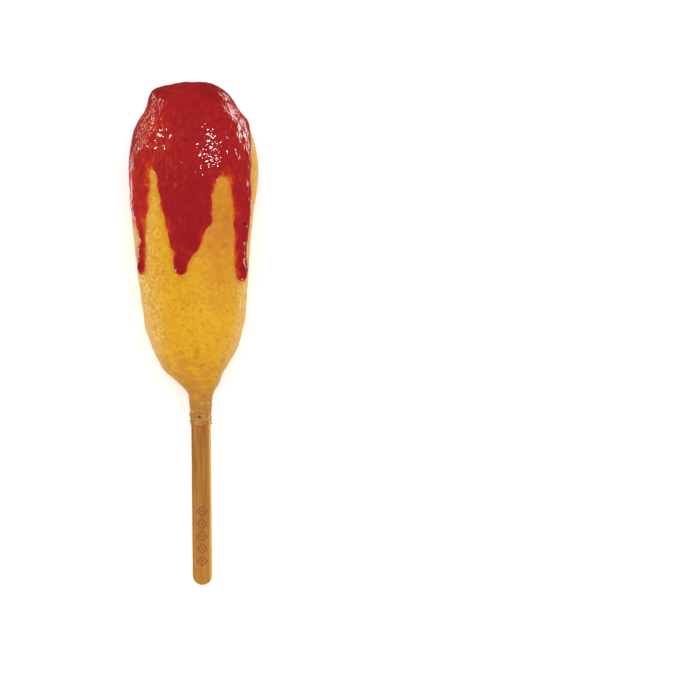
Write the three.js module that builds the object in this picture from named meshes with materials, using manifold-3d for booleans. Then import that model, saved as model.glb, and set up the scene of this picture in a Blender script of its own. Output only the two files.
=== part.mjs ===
// A corn dog lying on its side: a body of fried corn batter on a flat bamboo stick, with ketchup that
// has run down from the tip. Millimetres, +Z up, tip towards +Y, broad face of the stick upwards.
// The origin is on the surface it lies on, under the middle of the whole.
//
// Every piece is worked out in the corn dog's own frame: "s" is the distance from the tip of the
// batter along its length, and an angle of 0 faces up, growing towards +X. The whole is then pitched
// until the underside of the tapering body lies flat.
import * as THREE from "three";
import { LoftGeometry } from "three/addons/geometries/LoftGeometry.js";
import { mergeVertices } from "three/addons/utils/BufferGeometryUtils.js";
import Module from "manifold-3d";

// Batter body
const bodyRadius = 21.5;
const bodyDepthShare = 0.98; // height of the section over its width
const domeLength = 29; // the rounded tip
const domeBluntness = 2.1; // 2 is an ellipse, more is blunter
const taperStart = 29;
const taperSlope = 0.1;
const taperEase = 6; // how gently the taper sets in
const shoulderStart = 76;
const shoulderEnd = 107.5; // where the body would close if there were no stick
const shoulderPower = 2.6;
const unevenness = 0.011; // share of the radius

// Collar of batter that runs on to the stick
const collarStart = 96;
const collarEnd = 115.4;
const collarBlend = 1.4; // fillet between the shoulder and the collar
const collarWall = 0.25;
const collarSquareness = 4.5; // exponent of the section where it hugs the stick

// Sideways run of the middle line: where it starts at the tip, and the smooth steps it takes from there
const tipLean = -1.1;
const sidewaysSteps = [
  { from: 3, to: 11, by: 1.5 },
  { from: 12, to: 28, by: 0.25 },
  { from: 34, to: 48, by: -0.65 },
  { from: 56, to: 80, by: 0.65 },
  { from: 96, to: 104, by: 2.15 }, // on to the stick
];

// Stick
const stickLength = 140;
const stickWidth = 6.6;
const stickThickness = 3.2;
const stickEdgeRadius = 0.8;
const stickTilt = THREE.MathUtils.degToRad(0.57);
const stickEnd = 169.4; // s of the free end
const clearance = 0.3; // between pieces that touch

// Rest on the table
const pitch = THREE.MathUtils.degToRad(5.1);
const flatDepth = 0.5; // how much of the round underside the rest spot takes

// Ketchup: an even coat over the tip, with an edge at sauceBase and drips that run on past it
const sauceThickness = 1.15;
const saucePool = 0.9; // how much thicker it stands round the tip
const saucePoolEnd = 8;
const sauceSink = -1.2; // level of the coat's outside where there is no ketchup, under the skin
const sauceEdgeWidth = 2.2; // half the run over which it slopes down to that level
const sauceEdgeRoundness = 1.6; // 1 is a straight slope, more is rounder on top
const sauceMerge = 3; // fillet between the coat and its drips
const sauceBase = 26.5;
const sauceShorter = [
  // where the edge draws back towards the tip: middle and half spread in degrees, and how far
  { angle: 96, spread: 42, by: 12 }, // a bare flank
  { angle: 180, spread: 38, by: 8.5 }, // wiped off where it meets the table
];
const sauceDrips = [
  // from top to end: s, angle in degrees, half width
  [[28, -69, 8], [39, -67, 6.6], [46, -62, 3.8], [52, -57, 1.6], [57, -63, 2.4], [61.6, -65.5, 2.6]],
  [[28, -6, 10.4], [44, -3, 8], [50, -5, 6.1], [58, -8.5, 3.2], [62.2, -12, 2.3]],
  [[28, 50, 5], [44, 57, 4.3], [50, 58.5, 3.8], [57, 58.5, 3.1], [63.2, 60, 3.1]],
  [[28, 136, 6.5], [44, 140, 2.7]],
  [[28, -140, 6.5], [38, -143, 2.9]],
  [[28, -106, 5.5], [42, -106, 2.3]],
];
const sauceEnd = 70; // s past the longest drip

// Fineness of the meshes
const bodyColumns = 48;
const bodyRingGap = 4.6;
const sauceColumns = 68;
const sauceRingGap = 2.4;

const { smoothstep, lerp, clamp, radToDeg, degToRad } = THREE.MathUtils;

// x of the middle line at s, which past the shoulder leans as the stick does.
function middleX(s) {
  let x = tipLean + Math.tan(stickTilt) * Math.max(0, s - shoulderEnd);
  for (const { from, to, by } of sidewaysSteps) x += by * smoothstep(s, from, to);
  return x;
}

// Radius of the body alone: a blunt dome, a taper that sets in gently, and a rounded shoulder.
function bodyAt(s) {
  const dome = s < domeLength ? (1 - (1 - s / domeLength) ** 2) ** (1 / domeBluntness) : 1;
  const past = Math.max(0, s - taperStart);
  const tapered = bodyRadius - (taperSlope * past ** 2) / (past + taperEase);
  const t = clamp((s - shoulderStart) / (shoulderEnd - shoulderStart), 0, 1);
  return tapered * dome * (1 - t ** shoulderPower);
}

// The larger of two sizes, with a fillet of about the given size where they cross.
function filletMax(a, b, fillet) {
  return (a + b + Math.sqrt((a - b) ** 2 + fillet ** 2)) / 2;
}

// Half width, half height and exponent of the section at s.
function sectionAt(s) {
  const body = bodyAt(s);
  const hug = smoothstep(s, collarStart, collarEnd - 3);
  const skin = clearance + collarWall;
  const squareness = lerp(2, collarSquareness, hug);
  if (s < collarStart) return { width: body, height: body * bodyDepthShare, squareness };
  const blend = collarBlend * smoothstep(s, collarStart, collarStart + 4);
  return {
    width: filletMax(body, lerp(4.4, stickWidth / 2 + skin, hug), blend),
    height: filletMax(body * bodyDepthShare, lerp(3.6, stickThickness / 2 + skin, hug), blend),
    squareness,
  };
}

// Low lumps of the batter as a share of its radius; none at the tip and on the collar.
function lumps(s, angle) {
  const strength = unevenness * smoothstep(s, 0, 16) * (1 - smoothstep(s, 84, 100));
  const waves = Math.sin(2 * angle + 0.06 * s + 0.8) + 0.7 * Math.sin(3 * angle - 0.11 * s);
  return strength * (waves + 0.5 * Math.sin(5 * angle + 0.17 * s + 2));
}

// Way out of the skin at s: x is away from the middle line, y towards the tip.
function wayOut(s) {
  if (s === 0) return new THREE.Vector2(0, 1);
  const step = Math.min(0.05, s);
  return new THREE.Vector2(2 * step, bodyAt(s + step) - bodyAt(s - step)).normalize();
}

// A point of the skin, or one that stands "rise" proud of it.
function skinPoint(s, angle, rise = 0) {
  const { width, height, squareness } = sectionAt(s);
  const out = wayOut(s);
  const across = Math.sin(angle);
  const up = Math.cos(angle);
  const share = 1 + lumps(s, angle);
  const power = 2 / squareness;
  const x = Math.sign(across) * Math.abs(across) ** power * (width * share + rise * out.x);
  const z = Math.sign(up) * Math.abs(up) ** power * (height * share + rise * out.x);
  return new THREE.Vector3(middleX(s) + x, rise * out.y - s, z);
}

// How high the tip's frame stands over the table, with the rest spot taken off the underside.
const lift = (() => {
  let reach = 0;
  for (let s = 0; s < shoulderEnd; s += 0.5) {
    const below = s * Math.sin(pitch) - skinPoint(s, Math.PI).z * Math.cos(pitch);
    reach = Math.max(reach, below);
  }
  return reach - flatDepth;
})();

function solidFrom(geometry, wasm) {
  geometry.deleteAttribute("normal");
  geometry.deleteAttribute("uv");
  const merged = mergeVertices(geometry, 1e-4);
  return new wasm.Manifold(
    new wasm.Mesh({
      numProp: 3,
      vertProperties: new Float32Array(merged.attributes.position.array),
      triVerts: new Uint32Array(merged.index.array),
    }),
  );
}

function geometryFrom(solid) {
  const { vertProperties, triVerts } = solid.getMesh();
  const geometry = new THREE.BufferGeometry();
  geometry.setAttribute("position", new THREE.BufferAttribute(vertProperties, 3));
  geometry.setIndex(new THREE.BufferAttribute(triVerts, 1));
  geometry.computeVertexNormals();
  return geometry;
}

// Stick: a flat bar with rounded edges, square at its buried end and round at its free end.
function stickGeometry(grow = 0, extraLength = 0) {
  const half = stickWidth / 2 + grow;
  const buried = stickLength + grow;
  const outline = new THREE.Shape();
  outline.moveTo(-half, buried);
  outline.lineTo(-half, half - extraLength);
  outline.absarc(0, half - extraLength, half, Math.PI, 2 * Math.PI, false);
  outline.lineTo(half, buried);
  outline.closePath();
  const bevel = stickEdgeRadius;
  const geometry = new THREE.ExtrudeGeometry(outline, {
    depth: stickThickness + 2 * grow - 2 * bevel,
    bevelThickness: bevel,
    bevelSize: bevel,
    bevelOffset: -bevel,
    bevelSegments: 3,
    curveSegments: 14,
  });
  return geometry.translate(0, 0, bevel - stickThickness / 2 - grow);
}

// A skin closed at both ends: "rise" gives how proud it stands at (s, angle).
function skinSolid(stations, columns, rise, wasm) {
  const rings = stations.map((s) => {
    const ring = [];
    for (let i = 0; i < columns; i++) {
      const angle = (-2 * Math.PI * i) / columns;
      ring.push(skinPoint(s, angle, rise(s, angle)));
    }
    return ring;
  });
  return solidFrom(new LoftGeometry(rings, { capEnd: true }), wasm);
}

// Stations over the dome, packed towards the tip where it turns, and then evenly to "end".
function stationsTo(end, gap) {
  const turns = Math.ceil((domeLength * 1.6) / gap);
  const stations = [];
  for (let i = 0; i <= turns; i++) stations.push(domeLength * (1 - Math.cos((i / turns) * 1.5)));
  const rest = end - stations.at(-1);
  const steps = Math.ceil(rest / gap);
  const start = stations.at(-1);
  for (let i = 1; i <= steps; i++) stations.push(start + (rest * i) / steps);
  return stations;
}

// Batter: the skin, flattened where it rests, with the stick's socket cut out of it.
function batterGeometry(wasm, stickPlace, tableSlab) {
  const stations = stationsTo(shoulderStart, bodyRingGap);
  for (let s = shoulderStart + 3.4; s < collarStart; s += 3.4) stations.push(s);
  for (let s = collarStart; s < collarEnd; s += 1.9) stations.push(s);
  stations.push(collarEnd);
  const socket = stickGeometry(clearance, 20).applyMatrix4(stickPlace);
  const body = skinSolid(stations, bodyColumns, () => 0, wasm);
  return geometryFrom(body.subtract(solidFrom(socket, wasm)).subtract(tableSlab));
}

// How far an angle in degrees is past another, the short way round, with its sign.
function degreesPast(a, b) {
  return ((((a - b + 180) % 360) + 360) % 360) - 180;
}

// Angle and half width of a drip at s: straight runs between its points.
function dripAt(drip, s) {
  const last = drip.length - 1;
  const next = clamp(drip.findIndex(([at]) => at > s), 1, last);
  const to = drip[s >= drip[last][0] ? last : next];
  const from = drip[drip.indexOf(to) - 1];
  const share = clamp((s - from[0]) / (to[0] - from[0]), 0, 1);
  return { angle: lerp(from[1], to[1], share), width: lerp(from[2], to[2], share), end: drip[last][0] };
}

// How far inside the ketchup's edge a place on the skin is, in millimetres; negative outside it.
function sauceInside(s, angle) {
  const degrees = radToDeg(angle);
  let inside = sauceBase - s;
  for (const { angle: middle, spread, by } of sauceShorter) {
    inside -= by * (1 - smoothstep(Math.abs(degreesPast(degrees, middle)), spread * 0.3, spread));
  }
  for (const drip of sauceDrips) {
    const { angle: middle, width, end } = dripAt(drip, s);
    const aside = degToRad(degreesPast(degrees, middle)) * bodyAt(s);
    inside = filletMax(inside, width - Math.hypot(aside, Math.max(0, s - end)), sauceMerge);
  }
  return inside;
}

// Ketchup: a coat that dips under the skin outside its edge, less the batter grown by the clearance.
function sauceGeometry(wasm) {
  const rise = (s, angle) => {
    const pool = saucePool * smoothstep(s, 0, 2) * (1 - smoothstep(s, 3.5, saucePoolEnd));
    const outside = s === 0 ? 0 : clamp(0.5 - sauceInside(s, angle) / (2 * sauceEdgeWidth), 0, 1);
    return lerp(sauceThickness + pool, sauceSink, outside ** sauceEdgeRoundness);
  };
  const coat = skinSolid(stationsTo(sauceEnd, sauceRingGap), sauceColumns, rise, wasm);
  const core = skinSolid(stationsTo(sauceEnd + 2, bodyRingGap), bodyColumns, () => clearance, wasm);
  return geometryFrom(coat.subtract(core));
}

function addPiece(group, name, geometry, color, roughness) {
  const material = new THREE.MeshStandardMaterial({ color, roughness, metalness: 0 });
  const mesh = new THREE.Mesh(geometry, material);
  mesh.name = name;
  group.add(mesh);
  return mesh;
}

const wasm = await Module();
wasm.setup();

const lying = new THREE.Group();
const stick = addPiece(lying, "stick", stickGeometry(), 0xb1773d, 0.7);
stick.position.set(middleX(stickEnd), -stickEnd, 0);
stick.rotation.z = stickTilt;
stick.updateMatrix();
const slab = new THREE.BoxGeometry(200, 400, 20).translate(0, 0, -10 - lift).rotateX(-pitch);
addPiece(lying, "batter", batterGeometry(wasm, stick.matrix, solidFrom(slab, wasm)), 0xe2a22a, 0.75);
addPiece(lying, "ketchup", sauceGeometry(wasm), 0xa51c20, 0.2);
lying.rotation.x = pitch;
lying.position.z = lift;

// The whole is centred over the origin.
const cornDog = new THREE.Group();
cornDog.add(lying);
const middle = new THREE.Box3().setFromObject(cornDog, true).getCenter(new THREE.Vector3());
lying.position.x -= middle.x;
lying.position.y -= middle.y;

export default cornDog;
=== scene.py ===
# A corn dog on a flat bamboo stick, lying on a pale table: golden fried batter that runs out in a thin
# collar on the stick, and ketchup that has run down from the tip in drips.
import math

import bpy
import numpy as np
from mathutils import Matrix, Vector


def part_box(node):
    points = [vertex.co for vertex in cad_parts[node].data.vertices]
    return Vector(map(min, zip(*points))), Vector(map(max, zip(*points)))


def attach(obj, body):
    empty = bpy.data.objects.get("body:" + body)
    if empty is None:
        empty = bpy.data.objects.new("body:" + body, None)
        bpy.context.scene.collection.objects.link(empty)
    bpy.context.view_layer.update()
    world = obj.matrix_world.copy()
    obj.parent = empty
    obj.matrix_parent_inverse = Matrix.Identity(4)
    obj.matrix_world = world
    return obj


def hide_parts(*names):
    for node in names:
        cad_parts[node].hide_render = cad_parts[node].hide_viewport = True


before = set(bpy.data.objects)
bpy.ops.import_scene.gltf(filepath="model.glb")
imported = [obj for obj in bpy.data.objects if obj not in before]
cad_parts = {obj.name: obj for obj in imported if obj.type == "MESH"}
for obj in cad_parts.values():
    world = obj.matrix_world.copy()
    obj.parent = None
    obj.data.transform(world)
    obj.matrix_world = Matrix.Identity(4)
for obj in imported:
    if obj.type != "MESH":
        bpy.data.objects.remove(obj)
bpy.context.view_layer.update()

mm = 0.001

# Every shape is worked out in millimetres in the corn dog's own frame: s is the distance from the tip of
# the batter along its length, and angle 0 faces up, growing towards +X. y is -s, and z is up.


def smoothStep(x, start, end):  # 0 before start, 1 past end, 3t^2 - 2t^3 between
    t = np.clip((x - start) / (end - start), 0, 1)
    return t * t * (3 - 2 * t)


def bump(x, middle, reach):  # 1 at the middle, falling to 0 at the reach on both sides: (1 - d^2)^2
    d = np.clip(np.abs(x - middle) / reach, 0, 1)
    return (1 - d * d) ** 2


def filletMax(a, b, fillet):  # the larger of two, rounded over where they cross
    return (a + b + np.sqrt((a - b) ** 2 + fillet ** 2)) / 2


def turnBetween(a, b):  # how far angle a is past angle b in degrees, the short way round
    return (a - b + 180) % 360 - 180


def between(x, start, full, fading, end):  # rises to 1 from start to full, falls back from fading to end
    return smoothStep(x, start, full) * (1 - smoothStep(x, fading, end))


def around(s, degrees, middle, spread, at, reach):
    # 1 at the angle "middle" and the distance "at", falling to 0 at the spread and the reach from them
    return bump(turnBetween(degrees, middle), 0, spread) * bump(s, at, reach)


def smoothCurve(x, xs, ys):
    # A curve through the points: between two of them, the cubic whose slope at each point is the mean of
    # the slopes of the lines on both sides
    xs = np.asarray(xs, float)
    ys = np.asarray(ys, float)
    slopes = np.diff(ys) / np.diff(xs)
    tangent = np.concatenate([slopes[:1], (slopes[:-1] + slopes[1:]) / 2, slopes[-1:]])
    i = np.clip(np.searchsorted(xs, x) - 1, 0, len(xs) - 2)
    run = xs[i + 1] - xs[i]
    t = np.clip((x - xs[i]) / run, 0, 1)
    value = (2 * t ** 3 - 3 * t ** 2 + 1) * ys[i] + (3 * t ** 2 - 2 * t ** 3) * ys[i + 1]
    return value + run * ((t ** 3 - 2 * t ** 2 + t) * tangent[i] + (t ** 3 - t ** 2) * tangent[i + 1])


def waves(points, length, seed, stretch=(1, 1, 1), count=30):
    # Soft noise: the sum of sines that run in random directions with lengths near the given one, scaled
    # to spread about 1 either way; stretch draws it out along x, y and z
    rng = np.random.default_rng(seed)
    way = rng.normal(size=(count, 3))
    way /= np.linalg.norm(way, axis=1, keepdims=True)
    number = 2 * np.pi / (length * rng.uniform(0.7, 1.4, count))
    phase = rng.uniform(0, 2 * np.pi, count)
    total = np.zeros(points.shape[:-1])
    for direction, turn in zip(way * number[:, None] / np.array(stretch), phase):
        total += np.sin(points @ direction + turn)
    return total * math.sqrt(2 / count)


def ridges(points, length, seed, stretch=(1, 1, 1)):  # narrow crests where the soft noise crosses zero
    return np.exp(-(waves(points, length, seed, stretch) * 2.4) ** 2)


# The batter's form. A lump is its size, how often it comes round, how it drifts along s, and its phase. A
# sideways step is from s, to s and by how much. "neck" is half the width and height where the collar starts.
body = {
    "radius": 21.5,
    "depthShare": 0.98,
    "domeLength": 29.0,
    "domeBluntness": 2.1,
    "taperStart": 29.0,
    "taperSlope": 0.1,
    "taperEase": 6.0,
    "shoulderStart": 76.0,
    "shoulderEnd": 107.5,
    "shoulderPower": 2.6,
    "unevenness": 0.011,
    "unevenOver": (0, 16, 84, 100),
    "lumps": [(1.0, 2, 0.06, 0.8), (0.7, 3, -0.11, 0.0), (0.5, 5, 0.17, 2.0)],
    "tipLean": -1.1,
    "sideways": [(3, 11, 1.5), (12, 28, 0.25), (34, 48, -0.65), (56, 80, 0.65), (96, 104, 2.15)],
}
collar = {
    "start": 96.0,
    "neck": (4.4, 3.6),
    "end": 115.4,
    "blend": 1.1,
    "wall": 0.14,
    "squareness": 4.5,
}
stick = {
    "length": 140.0,
    "width": 6.6,
    "thickness": 3.2,
    "edge": 0.8,
    "tilt": 0.57,
    "end": 169.4,
}
pitch = math.radians(5.1)


def middleX(s):  # sum of smooth sideways steps, then along the leaning stick
    x = body["tipLean"] + math.tan(math.radians(stick["tilt"])) * np.maximum(0, s - body["shoulderEnd"])
    for start, end, by in body["sideways"]:
        x = x + by * smoothStep(s, start, end)
    return x


def bodyRadius(s):
    # Blunt dome (1 - (1 - s/length)^2)^(1/bluntness), a taper that sets in gently, and a round shoulder
    u = np.clip(1 - s / body["domeLength"], 0, 1)
    dome = np.maximum(0, 1 - u ** 2) ** (1 / body["domeBluntness"])
    past = np.maximum(0, s - body["taperStart"])
    tapered = body["radius"] - body["taperSlope"] * past ** 2 / (past + body["taperEase"])
    t = np.clip((s - body["shoulderStart"]) / (body["shoulderEnd"] - body["shoulderStart"]), 0, 1)
    return tapered * dome * (1 - t ** body["shoulderPower"])


def outward(s):
    # The way straight out of the body's profile at s, as its parts across and along, from the slope of the
    # radius between two close stations; at the very tip it points along
    step = np.minimum(0.05, s)
    run = 2 * step
    climb = bodyRadius(s + step) - bodyRadius(s - step)
    slant = np.hypot(run, climb)
    atTip = slant < 1e-9
    slant = np.where(atTip, 1, slant)
    return np.where(atTip, 0, run / slant), np.where(atTip, 1, climb / slant)


def skin(s, angle, rise=0.0):
    # The batter's skin at (s, angle), or "rise" proud of it: a superellipse section about the middle line,
    # whose exponent grows from 2 on the body to the squareness of the collar on the stick
    radius = bodyRadius(s)
    hug = smoothStep(s, collar["start"], collar["end"] - 3)
    blend = collar["blend"] * smoothStep(s, collar["start"], collar["start"] + 4)
    onCollar = s >= collar["start"]
    wide, high = collar["neck"]
    neckWidth = wide + (stick["width"] / 2 + collar["wall"] - wide) * hug
    neckHeight = high + (stick["thickness"] / 2 + collar["wall"] - high) * hug
    width = np.where(onCollar, filletMax(radius, neckWidth, blend), radius)
    height = radius * body["depthShare"]
    height = np.where(onCollar, filletMax(height, neckHeight, blend), height)
    power = 2 / (2 + (collar["squareness"] - 2) * hug)
    share = 1
    for size, count, drift, phase in body["lumps"]:
        size = size * body["unevenness"] * between(s, *body["unevenOver"])
        share = share + size * np.sin(count * angle + drift * s + phase)
    outX, outY = outward(s)
    across = np.sin(angle)
    up = np.cos(angle)
    x = np.sign(across) * np.abs(across) ** power * (width * share + rise * outX)
    z = np.sign(up) * np.abs(up) ** power * (height * share + rise * outX)
    return np.stack([middleX(s) + x, rise * outY - s, z], axis=-1)


def spots(points, places):
    # Round spots on the upper side, each full at its middle and gone at its radius; a place is x from the
    # middle line, s, radius and strength
    total = np.zeros(points.shape[:-1])
    for x, s, radius, strength in places:
        away = np.hypot(points[..., 0] - x - middleX(s), points[..., 1] + s)
        total += strength * bump(away, 0, radius) * (points[..., 2] > 0)
    return total


def pitched(points):  # turned about X until the tapering underside lies flat
    turn = np.array(Matrix.Rotation(pitch, 3, "X"))
    return points @ turn.T


def placeOnTable():  # how far the pitched form is moved to fill the batter's box
    low, high = (np.array(corner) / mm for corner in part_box("batter"))
    s, angle = np.meshgrid(np.linspace(0, collar["end"], 500), np.linspace(-np.pi, np.pi, 241))
    points = pitched(skin(s, angle)).reshape(-1, 3)
    x = (low[0] + high[0] - points[:, 0].min() - points[:, 0].max()) / 2
    return np.array([x, high[1] - points[:, 1].max(), high[2] - points[:, 2].max()])


onTable = placeOnTable()


def toTable(points):  # from the corn dog's own frame to the frame, in metres, nothing under the table
    placed = pitched(points) + onTable
    placed[..., 2] = np.maximum(placed[..., 2], 0)
    return placed * mm


def stations(end, gap, tipGap, tipEnd):
    # Distances s whose steps along the skin are even: tipGap as far as tipEnd, then gap
    fine = np.linspace(0, end, 4000)
    climb = np.diff(bodyRadius(fine))
    step = np.hypot(np.diff(fine), climb) / np.where(fine[1:] < tipEnd, tipGap, gap)
    count = np.concatenate([[0], np.cumsum(step)])
    return np.interp(np.linspace(0, count[-1], int(count[-1]) + 2), count, fine)


def enclosed(points, faces):  # six times the volume inside the faces: negative if they point inwards
    total = 0.0
    for part in faces:
        for third in range(2, part.shape[1]):
            a, b, c = (points[part[:, corner]] for corner in (0, third - 1, third))
            total += np.einsum("ij,ij->", a, np.cross(b, c))
    return total


def meshPiece(name, points, faces, attributes, material):
    # points in metres; attributes is {name: one value, or three, for each point}; faces turned to point out
    mesh = bpy.data.meshes.new(name)
    flat = [part.reshape(-1, part.shape[-1]) for part in faces]
    if enclosed(points, flat) < 0:
        flat = [part[:, ::-1] for part in flat]
    sizes = np.concatenate([np.full(len(part), part.shape[1]) for part in flat])
    loops = np.concatenate([part.ravel() for part in flat])
    mesh.vertices.add(len(points))
    mesh.vertices.foreach_set("co", points.astype(np.float32).ravel())
    mesh.loops.add(len(loops))
    mesh.loops.foreach_set("vertex_index", loops.astype(np.int32))
    mesh.polygons.add(len(sizes))
    starts = np.concatenate([[0], np.cumsum(sizes)[:-1]])
    mesh.polygons.foreach_set("loop_start", starts.astype(np.int32))
    mesh.update(calc_edges=True)
    mesh.polygons.foreach_set("use_smooth", np.ones(len(sizes), bool))
    for key, values in attributes.items():
        kind = "FLOAT" if values.ndim == 1 else "FLOAT_VECTOR"
        field = "value" if values.ndim == 1 else "vector"
        layer = mesh.attributes.new(key, kind, "POINT")
        layer.data.foreach_set(field, values.astype(np.float32).ravel())
    mesh.validate()
    mesh.materials.append(material)
    piece = bpy.data.objects.new(name, mesh)
    bpy.context.scene.collection.objects.link(piece)
    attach(piece, "root")
    return piece


def tubeFaces(rows, columns):  # quads of a grid that closes round its columns
    row, column = np.meshgrid(np.arange(rows - 1), np.arange(columns), indexing="ij")
    beside = (column + 1) % columns
    here, after = row * columns, (row + 1) * columns
    quads = np.stack([here + column, here + beside, after + beside, after + column], axis=-1)
    return quads.reshape(-1, 4)


def fanFaces(ring, pole):  # triangles from a ring's points to a pole
    return np.stack([ring, np.full_like(ring, pole), np.roll(ring, -1)], axis=-1)


# Materials: each reads Object coordinates, in metres, or its piece's own attributes.
def newMaterial(name):  # one shader on the output, returned with its node tree
    material = bpy.data.materials.new(name)
    material.use_nodes = True
    tree = material.node_tree
    tree.nodes.clear()
    output = tree.nodes.new("ShaderNodeOutputMaterial")
    shader = tree.nodes.new("ShaderNodeBsdfPrincipled")
    tree.links.new(shader.outputs["BSDF"], output.inputs["Surface"])
    return material, tree, shader


def addNode(tree, kind, inputs=(), **settings):
    # inputs is {socket: a value, or an output to link}
    node = tree.nodes.new(kind)
    for key, value in settings.items():
        setattr(node, key, value)
    for key, value in dict(inputs).items():
        if isinstance(value, bpy.types.NodeSocket):
            tree.links.new(value, node.inputs[key])
        else:
            node.inputs[key].default_value = value
    return node


def noise(tree, place, size, detail=2.0, roughness=0.5, warp=0.0, seed=0.0):
    # Noise whose features are about "size" millimetres across; the seed moves it aside
    moved = addNode(tree, "ShaderNodeVectorMath", {0: place, 1: (seed, seed * 0.7, -seed)}, operation="ADD")
    inputs = {
        "Vector": moved.outputs[0],
        "Scale": 1 / (size * mm),
        "Detail": detail,
        "Roughness": roughness,
        "Distortion": warp,
    }
    return addNode(tree, "ShaderNodeTexNoise", inputs).outputs["Fac"]


def ramp(tree, value, stops):  # stops is [(position, colour or grey), ...], straight between them
    node = addNode(tree, "ShaderNodeValToRGB", {"Fac": value})
    elements = node.color_ramp.elements
    while len(elements) < len(stops):
        elements.new(0.5)
    for element, (position, colour) in zip(elements, stops):
        element.position = position
        element.color = (*colour, 1) if isinstance(colour, tuple) else (colour, colour, colour, 1)
    return node.outputs["Color"]


def mix(tree, share, a, b):  # a where the share is 0, b where it is 1
    node = addNode(tree, "ShaderNodeMix", data_type="RGBA", blend_type="MIX")
    for socket, value in ((node.inputs[0], share), (node.inputs[6], a), (node.inputs[7], b)):
        if isinstance(value, bpy.types.NodeSocket):
            tree.links.new(value, socket)
        else:
            socket.default_value = (*value, 1) if isinstance(value, tuple) else value
    return node.outputs[2]


def maths(tree, operation, a, b=0.0, c=0.0):  # one step of arithmetic on outputs or numbers
    return addNode(tree, "ShaderNodeMath", {0: a, 1: b, 2: c}, operation=operation).outputs[0]


def attribute(tree, name, output="Fac"):  # what meshPiece stored at each point under this name
    return addNode(tree, "ShaderNodeAttribute", attribute_name=name).outputs[output]


def bumps(tree, shader, layers):  # layers is [(height, how far it stands out in mm, strength), ...]
    normal = None
    for height, reach, strength in layers:
        inputs = {"Height": height, "Distance": reach * mm, "Strength": strength}
        if normal:
            inputs["Normal"] = normal
        normal = addNode(tree, "ShaderNodeBump", inputs).outputs["Normal"]
    tree.links.new(normal, shader.inputs["Normal"])


def shade(red, green, blue):  # a display colour of 0 to 255 as the linear colour that a shader takes
    parts = (part / 255 for part in (red, green, blue))
    return tuple(part / 12.92 if part <= 0.04045 else ((part + 0.055) / 1.055) ** 2.4 for part in parts)


batterLook = {
    "gold": shade(230, 173, 24),
    "deep": shade(198, 110, 16),
    # pale, with fleck grains in it, is painted sheen, laid on the flanks only
    "pale": shade(248, 221, 138),
    "fleck": shade(230, 162, 34),
    "warm": shade(218, 150, 20),
    "orange": shade(204, 118, 22),
    "stain": shade(200, 92, 26),
    "neck": shade(198, 132, 38),
    "film": shade(180, 119, 44),
    "crumb": shade(214, 168, 98),
    # pit: painted shade, near black, inside the pit torn in the film
    "pit": shade(70, 40, 16),
    "dry": 0.6,
    "oily": 0.42,
}


def batterMaterial():
    # Gold with warmer clouds; pale grains on the flanks are painted sheen; then blotches, browning, specks,
    # the sauce's stain, the toasted neck, the gritty film and the pit's painted shade, each mixed over the
    # ones before it
    material, tree, shader = newMaterial("friedBatter")
    place = addNode(tree, "ShaderNodeTexCoord").outputs["Object"]
    clouds = noise(tree, place, size=7, detail=3, roughness=0.55, seed=0.3)
    warmth = ramp(tree, clouds, [(0.42, 0.0), (0.68, 0.5)])
    colour = mix(tree, warmth, batterLook["gold"], batterLook["warm"])
    grains = noise(tree, place, size=1.0, detail=2, roughness=0.55, seed=0.7)
    # painted sheen: pale grains, broken by golden flecks, mixed in on the flanks only
    for tone, stops in (
        ("pale", [(0.2, 0.15), (0.6, 0.2)]),
        ("pale", [(0.5, 0.0), (0.6, 0.75)]),
        ("fleck", [(0.4, 0.9), (0.49, 0.0)]),
    ):
        share = maths(tree, "MULTIPLY", ramp(tree, grains, stops), attribute(tree, "paintedSheen"))
        colour = mix(tree, share, colour, batterLook[tone])
    blotches = noise(tree, place, size=2.6, detail=2, seed=0.8)
    specks = noise(tree, place, size=1.1, detail=2, roughness=0.55, seed=0.9)
    across = addNode(tree, "ShaderNodeMapping", {"Vector": place, "Scale": (0.4, 1, 0.4)}).outputs[0]
    grit = noise(tree, across, size=0.8, detail=3, roughness=0.6, warp=0.8, seed=1.3)
    film = mix(tree, ramp(tree, grit, [(0.46, 0.0), (0.72, 0.8)]), batterLook["film"], batterLook["crumb"])
    for share, over in (
        (ramp(tree, blotches, [(0.46, 0.0), (0.64, 0.3)]), batterLook["warm"]),
        (attribute(tree, "orange"), batterLook["orange"]),
        (ramp(tree, specks, [(0.47, 0.0), (0.66, 0.44)]), batterLook["deep"]),
        (attribute(tree, "stain"), batterLook["stain"]),
        (attribute(tree, "toast"), batterLook["neck"]),
        (attribute(tree, "film"), film),
        # the pit's painted shade
        (attribute(tree, "pit"), batterLook["pit"]),
    ):
        colour = mix(tree, share, colour, over)
    tree.links.new(colour, shader.inputs["Base Color"])
    wet = noise(tree, place, size=2.5, detail=2, seed=2.1)
    roughness = ramp(tree, wet, [(0.3, batterLook["oily"]), (0.7, batterLook["dry"])])
    tree.links.new(roughness, shader.inputs["Roughness"])
    shader.inputs["Specular IOR Level"].default_value = 0.16
    shader.inputs["Sheen Weight"].default_value = 0.42
    shader.inputs["Sheen Roughness"].default_value = 0.4
    shader.inputs["Sheen Tint"].default_value = (1.0, 0.92, 0.76, 1)
    shader.inputs["Subsurface Weight"].default_value = 0.12
    shader.inputs["Subsurface Radius"].default_value = (1.0, 0.45, 0.12)
    shader.inputs["Subsurface Scale"].default_value = 1.2 * mm
    pores = noise(tree, place, size=0.55, detail=2, roughness=0.6, seed=3.0)
    flecks = noise(tree, place, size=1.5, detail=3, roughness=0.6, warp=0.6, seed=0.5)
    dimples = noise(tree, place, size=3.4, detail=2, seed=4.0)
    bumps(tree, shader, [(pores, 0.12, 0.35), (flecks, 0.3, 0.3), (dimples, 0.6, 0.25)])
    return material


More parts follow.
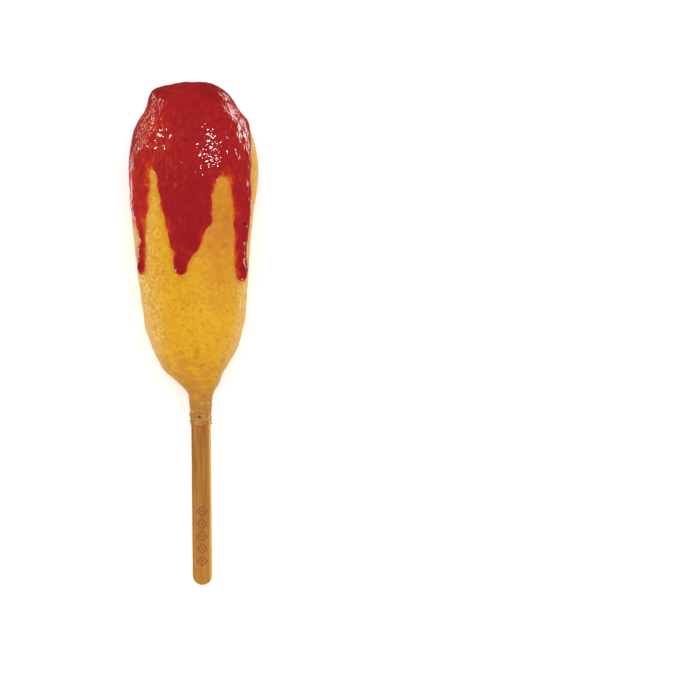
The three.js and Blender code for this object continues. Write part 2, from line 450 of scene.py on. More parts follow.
# Batter: the skin with low lumps, flow marks round the neck, and a rough film that thins out on the stick.
# A lump is its height, length and seed; a spot is x from the middle, s, radius and strength; and "browned"
# is the angle, half spread, s and half length of the darker patch.
batter = {
    "columns": 320,
    "gap": 0.52,
    "tipGap": 0.8,  # coarser where the ketchup hides it
    "tipEnd": 18.0,
    "filmGap": 0.25,
    "filmEnd": 115.3,
    "filmWaver": 0.5,
    "lumps": [(0.08, 9, 11), (0.035, 3, 12), (0.012, 1.4, 13)],
    "flowHeight": 0.1,
    "pitDepth": 0.3,
    "pit": [(-0.5, 112.6, 0.9, 1.0)],
    "scorched": [
        (1.3, 89.9, 1.5, 0.8),
        (0.3, 92.6, 1.0, 0.8),
        (-9.5, 63.5, 0.9, 0.8),
        (11.4, 46.2, 1.3, 0.8),
        (-3.5, 76, 0.8, 0.8),
    ],
    "browned": (31, 37, 48, 32),
    "stainReach": 0.8,
}


def flowMarks(s, angle):  # fine crests that run lengthwise on the left flank and crosswise on top
    at = skin(s, angle)
    flank = smoothStep(-np.sin(angle), 0.1, 0.7)
    return flank * ridges(at, 1.5, 14, (1, 5, 1)) + (1 - flank) * ridges(at, 1.4, 15, (4, 1, 4))


def batterRelief(s, angle):
    # How far the batter stands out from the smooth skin: low lumps of three sizes, flow marks towards the
    # neck, a wrinkled film on the stick, and the pit torn in it
    at = skin(s, angle)
    relief = sum(height * waves(at, length, seed) for height, length, seed in batter["lumps"])
    relief += batter["flowHeight"] * between(s, 88, 99, 108, 112) * flowMarks(s, angle)
    film = 0.05 * waves(at, 1.5, 16, (2.5, 1, 2.5)) + 0.03 * waves(at, 0.8, 17)
    relief += smoothStep(s, 102, 109) * np.maximum(film, -0.07)
    return relief - batter["pitDepth"] * spots(at, batter["pit"])


def filmLeft(s, angle):  # 1 on the batter, 0 past the wavering end of the film on the stick
    end = batter["filmEnd"] + batter["filmWaver"] * (np.sin(3 * angle + 1) + 0.7 * np.sin(7 * angle + 2))
    return 1 - smoothStep(s, end - 1.2, end + 0.6)


def batterMarks(points, s, angle):
    # What the colour reads at each point, each a smooth window along and round the batter made uneven by
    # soft noise: the toasted neck, the painted sheen on the flanks, the pit's painted shade, the film,
    # the browning and the sauce's stain
    degrees = np.degrees(angle)
    flow = 0.7 * (flowMarks(s, angle) - 0.35) * smoothStep(s, 86, 96)
    toast = 0.95 * smoothStep(s, 88, 106) + 0.18 * waves(points, 4, 21) * smoothStep(s, 80, 95) + flow
    # painted sheen: pale bands along the left and right flanks, where grazing light makes the batter look
    # paler
    paintedSheen = bump(degrees, -62, 37) + 0.9 * bump(degrees, 72, 26) * smoothStep(s, 40, 60)
    paintedSheen = np.clip(paintedSheen * (0.85 + 0.15 * waves(points, 6, 24)), 0, 1) * (1 - smoothStep(s, 84, 96))
    browned = around(s, degrees, *batter["browned"]) * (0.74 + 0.1 * waves(points, 3.5, 23))
    outside = np.maximum(0, -ketchupInside(s, angle)[0])
    stain = np.exp(-outside / batter["stainReach"]) * (0.6 + 0.25 * waves(points, 2.5, 25))
    return {
        "toast": np.clip(toast, 0, 1),
        "paintedSheen": paintedSheen,
        # painted shade inside the pit
        "pit": spots(skin(s, angle), batter["pit"]),
        "film": smoothStep(s + waves(points, 2, 22), 103, 110),
        "orange": np.clip(browned + spots(points, batter["scorched"]), 0, 1),
        "stain": np.clip(stain, 0, 1),
    }


def makeBatter():
    # Rings of points from the tip to past the film's end, where they sink into the stick, closed by a fan
    # at the tip and another inside the stick
    columns = batter["columns"]
    smooth = stations(collar["start"] + 2, batter["gap"], batter["tipGap"], batter["tipEnd"])[1:]
    neck = np.arange(collar["start"] + 2 + batter["filmGap"], batter["filmEnd"] + 2.6, batter["filmGap"])
    angle = np.linspace(-np.pi, np.pi, columns, endpoint=False)
    s, angle = np.meshgrid(np.concatenate([smooth, neck]), angle, indexing="ij")
    sunk = -0.75 * (1 - filmLeft(s, angle))
    rings = skin(s, angle, batterRelief(s, angle) + sunk)
    rows = len(s)
    zero = np.zeros(1)
    tip = skin(zero, zero, batterRelief(zero, zero))
    tail = rings[-1].mean(0, keepdims=True)
    points = np.concatenate([rings.reshape(-1, 3), tip, tail])
    ring = np.arange(columns)
    faces = [tubeFaces(rows, columns), fanFaces(ring, rows * columns)]
    faces.append(fanFaces(ring + (rows - 1) * columns, rows * columns + 1)[:, ::-1])
    along = np.concatenate([s.ravel(), [0, batter["filmEnd"]]])
    turn = np.concatenate([angle.ravel(), [0, 0]])
    marks = batterMarks(points, along, turn)
    piece = meshPiece("batter_skin", toTable(points), faces, marks, batterMaterial())
    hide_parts("batter")
    return piece


# Crumbs of batter on the film: round grains, dented by noise. Most are strewn near the film's end, and some
# have places of their own: x from the middle, s and radius.
crumbs = {
    "placed": [
        (4.0, 104.4, 0.4),
        (2.2, 108.5, 0.26),
        (-0.95, 113.2, 0.34),
        (0.4, 112.1, 0.24),
        (1.8, 114.7, 0.32),
        (-2.4, 114.7, 0.3),
        (-1.2, 115.2, 0.2),
        (0.3, 115.0, 0.24),
        (3.0, 106.2, 0.22),
        (2.9, 112.6, 0.2),
    ],
    "strewn": 60,
    "scatter": 2.6,
    "radius": (0.1, 0.26),
    "dents": 0.3,
    "proud": 0.3,
    "rings": 7,
    "columns": 10,
    "light": shade(226, 182, 112),
    "dark": shade(158, 100, 40),
}


def crumbPlaces():  # rows of s, angle and radius; the strewn ones thin out away from the end of the film
    rng = np.random.default_rng(71)
    count = crumbs["strewn"]
    s = batter["filmEnd"] - 0.4 - np.abs(rng.normal(0, crumbs["scatter"], count))
    angle = rng.uniform(-np.pi, np.pi, count)
    strewn = np.stack([s, angle, rng.uniform(*crumbs["radius"], count)], axis=-1)
    half = np.linspace(-np.pi / 2, np.pi / 2, 721)
    placed = []
    for x, at, radius in crumbs["placed"]:
        across = skin(np.full_like(half, at), half)[:, 0]
        placed.append((at, float(np.interp(x + middleX(at), across, half)), radius))
    return np.concatenate([np.array(placed), strewn])


def crumbMaterial():  # grainy, and each crumb darker or paler by its tone
    material, tree, shader = newMaterial("batterCrumb")
    place = addNode(tree, "ShaderNodeTexCoord").outputs["Object"]
    grain = noise(tree, place, size=0.4, detail=2, roughness=0.6, seed=9.0)
    tone = maths(tree, "MULTIPLY_ADD", grain, 0.6, attribute(tree, "tone"))
    colour = ramp(tree, tone, [(0.4, crumbs["dark"]), (1.0, crumbs["light"])])
    tree.links.new(colour, shader.inputs["Base Color"])
    shader.inputs["Roughness"].default_value = 0.6
    bumps(tree, shader, [(grain, 0.06, 0.6)])
    return material


def ballPoints(rings, columns):  # a ball of radius 1: rings of points, then its two poles
    tilt = np.linspace(0, np.pi, rings + 2)[1:-1]
    turn = np.arange(columns) * 2 * np.pi / columns
    tilt, turn = np.meshgrid(tilt, turn, indexing="ij")
    ball = np.stack([np.sin(tilt) * np.cos(turn), np.sin(tilt) * np.sin(turn), np.cos(tilt)], axis=-1)
    return np.concatenate([ball.reshape(-1, 3), [(0, 0, 1), (0, 0, -1)]])


def makeCrumbs():
    # Each grain is the ball scaled to its radius, dented by noise and part sunk in the film
    rings, columns = crumbs["rings"], crumbs["columns"]
    places = crumbPlaces()
    count = len(places)
    s, angle, radius = places.T
    ball = ballPoints(rings, columns)
    middle = skin(s, angle, batterRelief(s, angle) + crumbs["proud"] * radius)[:, None]
    dents = 1 + crumbs["dents"] * waves(ball[None] + 9 * middle, 1.3, 72)
    points = middle + radius[:, None, None] * ball[None] * dents[..., None]
    each = len(ball)
    ring = np.arange(columns)
    quads = tubeFaces(rings, columns)[:, ::-1]
    caps = [fanFaces(ring, each - 2)[:, ::-1], fanFaces(ring + (rings - 1) * columns, each - 1)]
    start = (np.arange(count) * each)[:, None, None]
    faces = [(quads[None] + start).reshape(-1, 4), (np.concatenate(caps)[None] + start).reshape(-1, 3)]
    tone = np.repeat(np.random.default_rng(73).uniform(0, 0.6, count), each)
    tone[:len(crumbs["placed"]) * each] += 0.35  # the placed ones are paler
    points = toTable(points.reshape(-1, 3))
    piece = meshPiece("batter_crumbs", points, faces, {"tone": tone}, crumbMaterial())
    return piece


# Ketchup: a coat over the tip and drips down the sides. "shorter" is where the coat ends sooner: angle in
# degrees, half spread and by how much. A drip is [(s, angle, half width), ...]. A hump is how much deeper
# the coat is, then where: angle, half spread, s and half length. "setting" is where it has begun to set, in
# the centre, on the left and on the right. A pepper speck is x from the middle, s, radius and strength.
ketchup = {
    "columns": 360,
    "gap": 0.405,
    "end": 68.5,
    "base": 26.8,
    "shorter": [(96, 42, 12), (180, 38, 8.5), (28, 24, -4.2)],
    "drips": [
        [(28, -70, 10), (34, -69.5, 9.4), (39, -67, 7.7), (44, -64, 5.6), (48, -61.5, 4), (51, -58.5, 2.5),
         (53, -56, 1.3), (55.5, -61, 2.5), (58, -62.5, 2.7), (62, -65, 2.4)],
        [(28, -6, 11.5), (34, -6.6, 9.9), (39, -6.5, 8.95), (44, -4, 8.35), (47.5, -3, 7.6), (50, -5, 6.4),
         (55.5, -6, 4.9), (57.5, -7.5, 3.4), (60, -10.5, 2.6), (62.4, -12.5, 2.2)],
        [(28, 50, 5.4), (34, 51.5, 5.2), (39, 55, 5.1), (44, 58.5, 5), (49, 61, 5.1), (53, 61.5, 4.6),
         (56, 61, 3.8), (58.5, 62, 4.1), (61, 63, 4.5), (62.7, 64, 4.1)],
        [(28, 136, 6.5), (36, 138, 4), (41, 139.5, 2.5), (44, 140, 2.9)],
        [(28, -140, 6.5), (34, -142, 3.6), (38, -143, 3)],
        [(28, -106, 5.5), (36, -106, 3.2), (42, -106, 2.3)],
    ],
    "merge": 1.6,
    "depth": 0.9,
    "humps": [
        (-0.4, -56, 44, 17, 16),
        (1.3, -86, 60, 3.9, 3.4),
        (-0.8, 90, 60, 9.6, 4),
        (-0.3, -90, 60, 9.6, 4),
        (0.45, -90, 55, 21, 14),
    ],
    "edge": 3.6,
    "edgeRoundness": 1.5,
    "bead": 0.8,
    "beadReach": 3.4,
    "lip": 0.1,
    "skirt": 0.12,  # how far the thin lip runs past the outline
    "setting": [(14, 38, 23, 20), (-58, 48, 15, 19), (68, 34, 12, 30)],
    "foldHeight": 0.16,
    "streakHeight": 0.13,
    "peppered": [
        (17.1, 47.4, 0.75, 1.4),
        (-2.0, 19.5, 0.9, 0.5),
        (2.7, 2.6, 0.8, 0.35),
        (-3.1, 2.2, 0.7, 0.3),
    ],
    "hem": 0.8,  # how far past the outline the coat goes on under the batter's skin
    "sunk": -0.3,
    "wall": -0.45,
}


def dripDistances(drip, s, degrees):
    # How far inside one drip's outline, in mm, and how far from the middle of its rounded end
    at, angles, widths = (np.array(column, float) for column in zip(*drip))
    middle = smoothCurve(s, at, angles)
    width = smoothCurve(s, at, widths)
    aside = np.radians(turnBetween(degrees, middle)) * bodyRadius(s)
    past = np.maximum(0, s - at[-1])
    return width - np.hypot(aside, past), np.hypot(aside, s - at[-1])


def ketchupInside(s, angle):
    # How far inside the ketchup's outline, in mm, negative outside: the coat over the tip joined to the
    # drips with fillets, its edge wavering a little; and how near the middle of a drip's end, 1 to 0
    degrees = np.degrees(angle)
    inside = ketchup["base"] - s
    for middle, spread, by in ketchup["shorter"]:
        inside = inside - by * (1 - smoothStep(np.abs(turnBetween(degrees, middle)), spread * 0.3, spread))
    nearEnd = np.zeros_like(s)
    for drip in ketchup["drips"]:
        within, fromEnd = dripDistances(drip, s, degrees)
        inside = filletMax(inside, within, ketchup["merge"])
        nearEnd = np.maximum(nearEnd, bump(fromEnd, 0, ketchup["beadReach"]))
    at = skin(s, angle)
    waver = 0.14 * waves(at, 5, 31) + 0.05 * waves(at, 2, 32)  # none near the tip
    return inside + waver * smoothStep(s, 12, 20), nearEnd


def ketchupLevel(s, degrees, x, nearEnd):
    # How deep the coat is away from its edge: an even depth with its humps, deeper down the middle drip and
    # at the right of the tip, with a bead at the end of each drip
    level = ketchup["depth"] + ketchup["bead"] * nearEnd
    for by, *where in ketchup["humps"]:
        level = level + by * around(s, degrees, *where)
    level = level + 0.4 * bump(turnBetween(degrees, -4), 0, 34) * smoothStep(s, 22, 36)
    return level + 1.1 * smoothStep(x, 0, 8) * (1 - smoothStep(s, 3.5, 8))


def ketchupDepth(s, angle, inside, nearEnd):
    # The coat's height over the skin: its level falls gently to a thin lip at the edge and then dips under
    # the skin, with wrinkles where it has begun to set, folds in the centre and streaks at the sides. Also
    # returns what the colour reads: pepper, how deep it looks, how creased and how fibrous it is
    degrees = np.degrees(angle)
    at = skin(s, angle)
    level = ketchupLevel(s, degrees, at[..., 0], nearEnd)
    skirt = ketchup["skirt"]
    share = np.clip((inside + skirt) / ketchup["edge"], 0, 1)
    slope = 1 - (1 - share) ** ketchup["edgeRoundness"]
    lip = ketchup["lip"] * smoothStep(inside, -skirt, 0.25)
    warped = at + 1.3 * np.stack([waves(at, 6, seed) for seed in (41, 42, 43)], axis=-1)
    folds = ketchup["foldHeight"] * ridges(warped, 4.1, 44)
    streaks = ridges(warped, 1.7, 45, (1, 4.5, 1))
    centre, left, right = (around(s, degrees, *where) for where in ketchup["setting"])
    wrinkles = (centre + 0.8 * left) * folds + ketchup["streakHeight"] * (right + left) * streaks
    wrinkles = wrinkles + 0.05 * waves(at, 4.5, 47)
    coat = (level - lip) * slope + lip + wrinkles * smoothStep(share, 0.1, 0.8)
    dip = np.maximum(ketchup["sunk"], 1.2 * (inside + skirt))
    fade = 0.7 * np.exp(0.6 * waves(at, 4, 48)) * (1 - 0.6 * nearEnd)
    looks = np.maximum(level, 0.6) * (1 - np.exp(-np.maximum(0, inside + 0.1) / fade))
    looks = looks - 0.3 * left * streaks - 0.5 * bump(degrees, -72, 34) * between(s, 24, 32, 46, 53)
    band = between(s, 8, 16, 30, 42) * (1 - bump(degrees, 8, 30))
    band = band + 1.2 * bump(degrees, -16, 16) * smoothStep(s, 16, 30)
    marks = {
        "pepper": np.clip(spots(at, ketchup["peppered"]), 0, 1),
        "depth": np.maximum(0, looks),
        "creased": np.clip(1.2 * centre + 0.4 * left + 0.3 * right, 0, 1),
        "fibrous": np.clip(left + 0.8 * right + 0.25 * band, 0, 1),
    }
    return np.where(inside > -skirt, coat, dip), marks


ketchupLook = {
    "stain": shade(206, 94, 34),
    "thin": shade(192, 45, 34),
    "full": shade(167, 31, 35),
    "deep": shade(153, 25, 31),
    "spice": shade(72, 20, 16),
    "fibre": shade(214, 92, 54),
    "roughness": 0.06,
}


def ketchupMaterial():
    # The colour runs from a stain to deep red with how deep the coat looks, made uneven by mottling, then
    # pulp, fibres, spice and pepper are mixed over it; creases and hairs are bumps where they belong
    material, tree, shader = newMaterial("ketchupGloss")
    place = addNode(tree, "ShaderNodeTexCoord").outputs["Object"]
    drawn = addNode(tree, "ShaderNodeMapping", {"Vector": place, "Scale": (1, 0.25, 1)}).outputs[0]
    mottle = noise(tree, place, size=1.8, detail=4, roughness=0.7, warp=0.8, seed=0.2)
    half = maths(tree, "MULTIPLY", attribute(tree, "depth"), 0.5)
    uneven = maths(tree, "MULTIPLY_ADD", maths(tree, "ADD", mottle, -0.5), 0.9, half)
    tones = [(0.04, "stain"), (0.2, "thin"), (0.42, "full"), (0.7, "deep")]
    colour = ramp(tree, uneven, [(level, ketchupLook[tone]) for level, tone in tones])
    pulp = noise(tree, place, size=0.9, detail=2, roughness=0.6, seed=10.0)
    strokes = noise(tree, drawn, size=0.9, detail=3, roughness=0.65, warp=0.9, seed=7.0)
    strokes = ramp(tree, strokes, [(0.52, 0.0), (0.68, 0.7)])
    specks = noise(tree, place, size=1.5, detail=1, roughness=0.5, seed=8.0)
    for share, tone in (
        (ramp(tree, pulp, [(0.52, 0.0), (0.68, 0.2)]), "thin"),
        (maths(tree, "MULTIPLY", strokes, attribute(tree, "fibrous")), "fibre"),
        (ramp(tree, specks, [(0.76, 0.0), (0.8, 0.6)]), "spice"),
        (attribute(tree, "pepper"), "spice"),
    ):
        colour = mix(tree, share, colour, ketchupLook[tone])
    tree.links.new(colour, shader.inputs["Base Color"])
    shader.inputs["Roughness"].default_value = ketchupLook["roughness"]
    shader.inputs["IOR"].default_value = 1.45
    shader.inputs["Specular IOR Level"].default_value = 0.5
    shader.inputs["Subsurface Weight"].default_value = 0.08
    shader.inputs["Subsurface Radius"].default_value = (1.0, 0.15, 0.1)
    shader.inputs["Subsurface Scale"].default_value = 1.0 * mm
    folds = noise(tree, place, size=2.9, detail=2, roughness=0.4, warp=1.0, seed=5.0)
    hairs = noise(tree, drawn, size=1.9, detail=1, roughness=0.5, warp=0.8, seed=6.0)
    layers = []
    for height, where, reach, strength in ((folds, "creased", 1.0, 0.75), (hairs, "fibrous", 0.8, 0.6)):
        layers.append((maths(tree, "MULTIPLY", height, attribute(tree, where)), reach, strength))
    bumps(tree, shader, layers)
    return material


def coatFaces(kept):
    # Quads of the kept cells of a grid that closes round its columns: an outer face, an inner one whose
    # points follow all the outer ones, and a wall between them wherever the next cell isn't kept. The first
    # row's open side is left for the fans at the tip
    columns = kept.shape[1]
    row, column = np.nonzero(kept)
    nextColumn = (column + 1) % columns
    a, b = row * columns + column, row * columns + nextColumn
    c, d = b + columns, a + columns
    total = (len(kept) + 1) * columns
    quads = [np.stack([a, b, c, d], axis=-1), np.stack([d, c, b, a], axis=-1) + total]
    padded = np.pad(kept, ((0, 1), (0, 0)))
    for there, first, second in (
        (padded[row + 1, column], d, c),
        (padded[row, nextColumn], c, b),
        (padded[row, (column - 1) % columns], a, d),
        (padded[row - 1, column] | (row == 0), b, a),
    ):
        low, high = first[~there], second[~there]
        quads.append(np.stack([low, high, high + total, low + total], axis=-1)[:, ::-1])
    return np.concatenate(quads)


def makeKetchup():
    # The outer face dips under the batter's skin past its edge, and an inner wall closes it there
    columns = ketchup["columns"]
    s = stations(ketchup["end"], ketchup["gap"], ketchup["gap"], 0)[1:]
    angle = np.linspace(-np.pi, np.pi, columns, endpoint=False)
    s, angle = np.meshgrid(s, angle, indexing="ij")
    inside, nearEnd = ketchupInside(s, angle)
    height, marks = ketchupDepth(s, angle, inside, nearEnd)
    relief = batterRelief(s, angle)
    outer = skin(s, angle, relief + height).reshape(-1, 3)
    inner = skin(s, angle, relief + ketchup["wall"]).reshape(-1, 3)
    zero = np.zeros(1)
    tipHeight, tipMarks = ketchupDepth(zero, zero, *ketchupInside(zero, zero))
    tips = np.concatenate([skin(zero, zero, tipHeight), skin(zero, zero, zero + ketchup["wall"])])
    wet = inside > -ketchup["hem"]
    beside = np.roll(wet, -1, axis=1)
    kept = wet[:-1] | beside[:-1] | wet[1:] | beside[1:]
    total = s.size
    ring = np.arange(columns)
    faces = [coatFaces(kept), fanFaces(ring, 2 * total), fanFaces(ring + total, 2 * total + 1)[:, ::-1]]
    used = np.unique(np.concatenate([part.ravel() for part in faces]))
    renumber = np.zeros(2 * total + 2, int)
    renumber[used] = np.arange(len(used))
    faces = [renumber[part] for part in faces]
    points = np.concatenate([outer, inner, tips])[used]
    for key, values in marks.items():
        marks[key] = np.concatenate([values.ravel(), values.ravel(), tipMarks[key], tipMarks[key]])[used]
    piece = meshPiece("ketchup_coat", toTable(points), faces, marks, ketchupMaterial())
    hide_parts("ketchup")
    return piece


makeBatter()
makeCrumbs()
print("batter made")
makeKetchup()
print("ketchup made")

# Stick: a flat bar with rounded edges and a round free end. Its own x runs across it and y along it, with
# y = 0 at the free end; a loop goes once round its outline, and each profile from the spine over the edge.
# The burnt pattern is a chain of diamonds, with half their width in mm and half their height as a share of
# the pitch.
bamboo = {
    "spacing": 0.5,
    "across": 9,
    "round": 5,
    "grainHeight": 0.018,
    "grainDraw": 0.035,
    "wideGrain": 1.6,
    "fineGrain": 4.5,
    "palerTo": 34.0,
    "burnt": shade(142, 78, 34),
    "burntStrength": 0.75,
    "burntFrom": 6.0,
    "burntCount": 5,
    "burntPitch": 4.2,
    "burntHalf": 1.7,
    "burntHeight": 0.38,
    "burntLine": 0.24,
    "burntDot": 0.3,
    "light": shade(194, 134, 46),
    "dark": shade(152, 88, 16),
    "middle": shade(172, 108, 24),
    # edge: a painted highlight for the +x edge, where the light catches it
    "edge": shade(228, 176, 84),
}


def stickOutline():
    # Points of the outline pulled in by the edge radius, going round once: up the right side, across the
    # buried end, down the left side and round the free end, each with the way out of it; and the nearest
    # points of the middle line, the spine
    half = stick["width"] / 2
    inset = half - stick["edge"]
    top = stick["length"] - stick["edge"]
    y = np.linspace(half, top, int(stick["length"] / bamboo["spacing"]))
    corner = np.linspace(0, math.pi / 2, 6)
    cross = np.linspace(1, -1, 13)[1:-1]
    turn = np.linspace(math.pi, 2 * math.pi, 25)[1:-1]
    stretches = [
        (inset, y, 1, 0),
        (inset, top, np.cos(corner[1:]), np.sin(corner[1:])),
        (inset * cross, top, 0, 1),
        (-inset, top, -np.sin(corner[:-1]), np.cos(corner[:-1])),
        (-inset, y[::-1], -1, 0),
        (inset * np.cos(turn), half + inset * np.sin(turn), np.cos(turn), np.sin(turn)),
    ]
    ring = np.concatenate([np.stack(np.broadcast_arrays(*part), axis=-1) for part in stretches])
    spine = np.stack([np.zeros(len(ring)), np.clip(ring[:, 1], half, stick["length"] - half)], axis=-1)
    return ring, spine


def burntPattern(tree, local):
    # How much of the burnt pattern shows, on the upper face only: a chain of diamonds
    # |x| / half width + |y| / half height = 1, with y from the middle of each pitch, and a dot in each
    parts = addNode(tree, "ShaderNodeSeparateXYZ", {0: local}).outputs
    start, pitchLength = bamboo["burntFrom"], bamboo["burntPitch"]
    x = maths(tree, "ABSOLUTE", parts["X"])
    y = maths(tree, "SUBTRACT", parts["Y"], start - pitchLength / 2)
    y = maths(tree, "PINGPONG", y, pitchLength / 2)
    upDiamond = maths(tree, "MULTIPLY", y, 1 / (bamboo["burntHeight"] * pitchLength))
    diamond = maths(tree, "MULTIPLY_ADD", x, 1 / bamboo["burntHalf"], upDiamond)
    toMillimetres = 0.75 * bamboo["burntHalf"]  # about how far one step of the diamond's value is
    fromLine = maths(tree, "MULTIPLY", maths(tree, "SUBTRACT", diamond, 1.0), toMillimetres)
    fromDot = maths(tree, "SUBTRACT", maths(tree, "ADD", x, y), bamboo["burntDot"])
    nearest = maths(tree, "MINIMUM", maths(tree, "ABSOLUTE", fromLine), fromDot)
    width = bamboo["burntLine"]
    inputs = {"Value": nearest, "From Min": width * 1.5, "From Max": width * 0.6}
    shown = addNode(tree, "ShaderNodeMapRange", inputs).outputs[0]
    afterStart = maths(tree, "GREATER_THAN", parts["Y"], start)
    beforeEnd = maths(tree, "LESS_THAN", parts["Y"], start + bamboo["burntCount"] * pitchLength)
    onTop = maths(tree, "GREATER_THAN", parts["Z"], 0.5)
    for limit in (afterStart, beforeEnd, onTop):
        shown = maths(tree, "MULTIPLY", shown, limit)
    return shown


def stickMaterial():
    # Lengthwise grain, wide and fine, paler towards the free end, a painted highlight along the lit +x edge,
    # and the pattern burnt into it
    material, tree, shader = newMaterial("bambooWood")
    local = attribute(tree, "local", "Vector")
    inputs = {"Vector": local, "Scale": (1, bamboo["grainDraw"], 1)}
    drawn = addNode(tree, "ShaderNodeMapping", inputs).outputs[0]
    grains = []
    for scale, detail in ((bamboo["wideGrain"], 4), (bamboo["fineGrain"], 3)):
        inputs = {"Vector": drawn, "Scale": scale, "Detail": detail, "Roughness": 0.6}
        grains.append(addNode(tree, "ShaderNodeTexNoise", inputs).outputs["Fac"])
    wide, fine = grains
    colour = ramp(tree, wide, [(0.32, bamboo["dark"]), (0.5, bamboo["middle"]), (0.7, bamboo["light"])])
    colour = mix(tree, ramp(tree, fine, [(0.5, 0.0), (0.62, 0.55)]), colour, bamboo["dark"])
    y = addNode(tree, "ShaderNodeSeparateXYZ", {0: local}).outputs["Y"]
    paler = {"Value": y, "From Min": bamboo["palerTo"], "From Max": 0.0, "To Max": 0.6}
    colour = mix(tree, addNode(tree, "ShaderNodeMapRange", paler).outputs[0], colour, bamboo["light"])
    # painted highlight along the lit +x edge
    colour = mix(tree, attribute(tree, "side"), colour, bamboo["edge"])
    burnt = burntPattern(tree, local)
    colour = mix(tree, maths(tree, "MULTIPLY", burnt, bamboo["burntStrength"]), colour, bamboo["burnt"])
    tree.links.new(colour, shader.inputs["Base Color"])
    shader.inputs["Roughness"].default_value = 0.55
    shader.inputs["Specular IOR Level"].default_value = 0.25
    sunk = maths(tree, "MULTIPLY", burnt, -1.0)
    bumps(tree, shader, [(fine, 0.08, 0.5), (sunk, 0.08, 0.6)])
    return material


def makeStick():
    # Each point of the outline has a profile: straight from the spine to it on the upper face, round the
    # edge as half an oval, and back to the spine on the under face; fibres lift both faces a little
    ring, spine = stickOutline()
    flat = stick["thickness"] / 2
    share = np.linspace(0, 1, bamboo["across"])[None, :, None]
    top = spine[:, None] * (1 - share) + ring[:, None, :2] * share
    top = np.concatenate([top, np.full((*top.shape[:2], 1), flat)], axis=-1)
    turn = np.linspace(math.pi / 2, -math.pi / 2, 2 * bamboo["round"] + 1)[1:-1]
    out = ring[:, None, 2:] * (stick["edge"] * np.cos(turn))[None, :, None]
    level = np.sign(np.sin(turn)) * (flat - stick["edge"]) + stick["edge"] * np.sin(turn)
    level = np.broadcast_to(level[None, :, None], (*out.shape[:2], 1))
    side = np.concatenate([ring[:, None, :2] + out, level], axis=-1)
    under = top[:, ::-1] * (1, 1, -1)
    grid = np.concatenate([top, side, under], axis=1)
    count, profile = grid.shape[:2]
    points = grid.reshape(-1, 3)
    fibres = waves(points, 0.9, 51, (1, 30, 1)) + 0.6 * waves(points, 0.45, 52, (1, 40, 1))
    points[:, 2] += bamboo["grainHeight"] * fibres * np.sign(points[:, 2])
    faces = tubeFaces(count + 1, profile).reshape(count, profile, 4)  # round the outline, back to its start
    faces = faces[:, :-1].reshape(-1, 4) % (count * profile)  # a profile is open at the spine
    turned = points @ np.array(Matrix.Rotation(math.radians(stick["tilt"]), 3, "Z")).T
    turned += (float(middleX(np.array(stick["end"]))), -stick["end"], 0)
    # only the +x edge gets the painted highlight
    edge = smoothStep(points[:, 0], stick["width"] / 2 - 0.9, stick["width"] / 2 - 0.3)
    marks = {"local": points, "side": edge}
    piece = meshPiece("bamboo_stick", toTable(turned), [faces], marks, stickMaterial())
    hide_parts("stick")
    return piece


makeStick()
print("stick made")

# Table, lights and camera. The camera looks down square to the corn dog's length. A lamp is its name,
# place, size, power and whether the sauce mirrors it. The sauce also mirrors bright cards round the table
# and the ground under it, given by the way to each, half its spread in degrees, and how bright it is.
studio = {
    "floor": (0.96, 0.96, 0.955),
    "distance": 2.2,
    "frameWidth": 236.9,
    "lookAt": (53.3, -89.9, 0.0),
    "glow": 0.3,
    "lamps": [
        ("glintLamp", (0.64, 0.3, 1.05), (0.2, 0.2), 13, True),
        ("leftGlint", (-0.94, 0.6, 0.7), (0.09, 0.09), 4, True),
        ("keyBox", (0.1, 0.3, 1.2), (0.9, 0.9), 5, False),
        ("frontBox", (-0.2, -1.3, 1.0), (1.6, 0.8), 4, False),
    ],
    "air": 0.69,
    "mirrored": 0.04,
    "cards": [
        ((0.86, 0.33, -0.37), 8, 10),
        ((0.78, 0.52, -0.32), 6, 12),
        ((0.55, 0.6, -0.55), 8, 6),
        ((-0.83, 0.28, -0.48), 4, 9),
        ((-0.8, 0.5, -0.3), 3, 12),
        ((-0.62, 0.52, -0.6), 3, 7),
        ((0.86, -0.33, -0.4), 4, 14),
        ((-0.78, -0.36, -0.5), 4, 14),
        ((-0.57, 0.04, -0.82), 6, 2),
        ((0.8, 0.13, -0.59), 5, 4),
    ],
    "ground": ((0, 0, -1), 27, 0.96),
    "groundColour": (0.6, 0.1, 0.07),
}


def makeFloor():  # a matt table top that glows a little, so that it stays near white
    material, _, shader = newMaterial("paleTable")
    shader.inputs["Base Color"].default_value = (*studio["floor"], 1)
    shader.inputs["Roughness"].default_value = 0.9
    shader.inputs["Emission Color"].default_value = (1, 1, 1, 1)
    shader.inputs["Emission Strength"].default_value = studio["glow"]
    mesh = bpy.data.meshes.new("table_top")
    mesh.from_pydata([(-4, -4, 0), (4, -4, 0), (4, 4, 0), (-4, 4, 0)], [], [(0, 1, 2, 3)])
    mesh.materials.append(material)
    floor = bpy.data.objects.new("table_top", mesh)
    bpy.context.scene.collection.objects.link(floor)
    floor.visible_glossy = False  # the sauce mirrors the air of the studio instead


def aim(thing, place, target):  # turns a lamp or camera at "place" so that its -Z points at the target
    thing.location = place
    thing.rotation_euler = (Vector(target) - Vector(place)).to_track_quat("-Z", "Y").to_euler()


def addLight(name, place, size, power, mirrored):
    # A lamp that the sauce mirrors lights nothing else, and a lamp that lights the scene isn't mirrored
    light = bpy.data.lights.new(name, "AREA")
    light.shape = "RECTANGLE"
    light.size, light.size_y = size
    light.energy = power
    lamp = bpy.data.objects.new(name, light)
    bpy.context.scene.collection.objects.link(lamp)
    lamp.visible_diffuse = not mirrored
    lamp.visible_glossy = mirrored
    aim(lamp, place, (0, 0, 0.02))


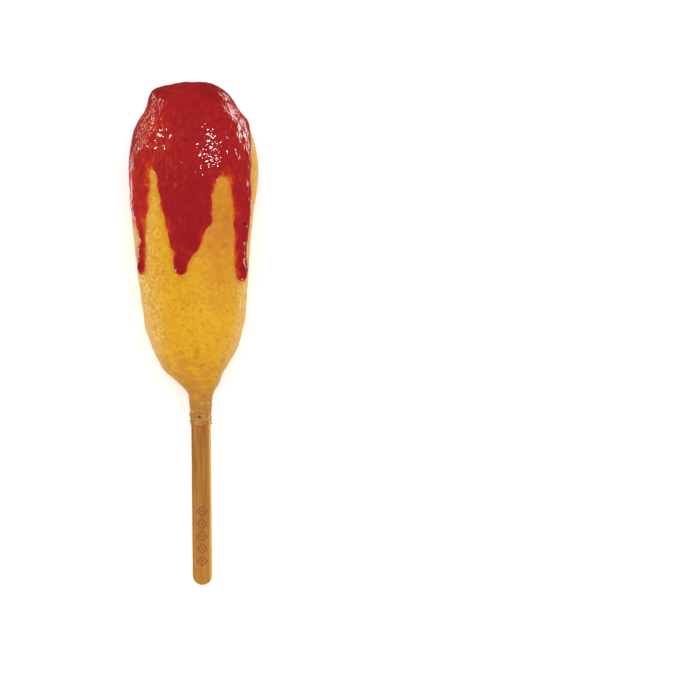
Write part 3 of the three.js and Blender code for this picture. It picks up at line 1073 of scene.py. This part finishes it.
def addCard(tree, way, direction, spread, power):
    # How bright a round card is along a ray's way: full inside its spread, fading out over 4 degrees
    facing = Vector(direction).normalized()
    near = addNode(tree, "ShaderNodeVectorMath", {0: way, 1: facing}, operation="DOT_PRODUCT")
    outer, inner = (math.cos(math.radians(spread + soft)) for soft in (2, -2))
    inputs = {"Value": near.outputs["Value"], "From Min": outer, "From Max": inner, "To Max": power}
    return addNode(tree, "ShaderNodeMapRange", inputs).outputs[0]


def makeAir():
    # The air is pale all round; in the sauce it is dark but for the cards and the dark red ground
    world = bpy.data.worlds.new("studioAir")
    world.use_nodes = True
    bpy.context.scene.world = world
    tree = world.node_tree
    way = addNode(tree, "ShaderNodeTexCoord").outputs["Generated"]
    mirrored = studio["mirrored"]
    for card in studio["cards"]:
        mirrored = maths(tree, "ADD", mirrored, addCard(tree, way, *card))
    ground = addCard(tree, way, *studio["ground"])
    mirrored = maths(tree, "ADD", mirrored, ground)
    glossy = addNode(tree, "ShaderNodeLightPath").outputs["Is Glossy Ray"]
    strength = addNode(tree, "ShaderNodeMix", {0: glossy, 2: studio["air"], 3: mirrored}).outputs[0]
    colour = mix(tree, maths(tree, "MULTIPLY", ground, glossy), (1.0, 1.0, 1.0), studio["groundColour"])
    background = tree.nodes["Background"]
    tree.links.new(strength, background.inputs["Strength"])
    tree.links.new(colour, background.inputs["Color"])


def makeStudio():
    makeFloor()
    for lamp in studio["lamps"]:
        addLight(*lamp)
    makeAir()
    bpy.context.scene.view_settings.view_transform = "Standard"


def makeCamera():  # its lens takes in frameWidth millimetres at its distance
    target = toTable(np.array([studio["lookAt"]]))[0]
    back = np.array([0, -math.sin(pitch), math.cos(pitch)]) * studio["distance"]
    data = bpy.data.cameras.new("camera")
    data.lens = data.sensor_width * studio["distance"] / (studio["frameWidth"] * mm)
    camera = bpy.data.objects.new("camera", data)
    bpy.context.scene.collection.objects.link(camera)
    aim(camera, target + back, target)
    bpy.context.scene.camera = camera


makeStudio()
makeCamera()
print("studio made")
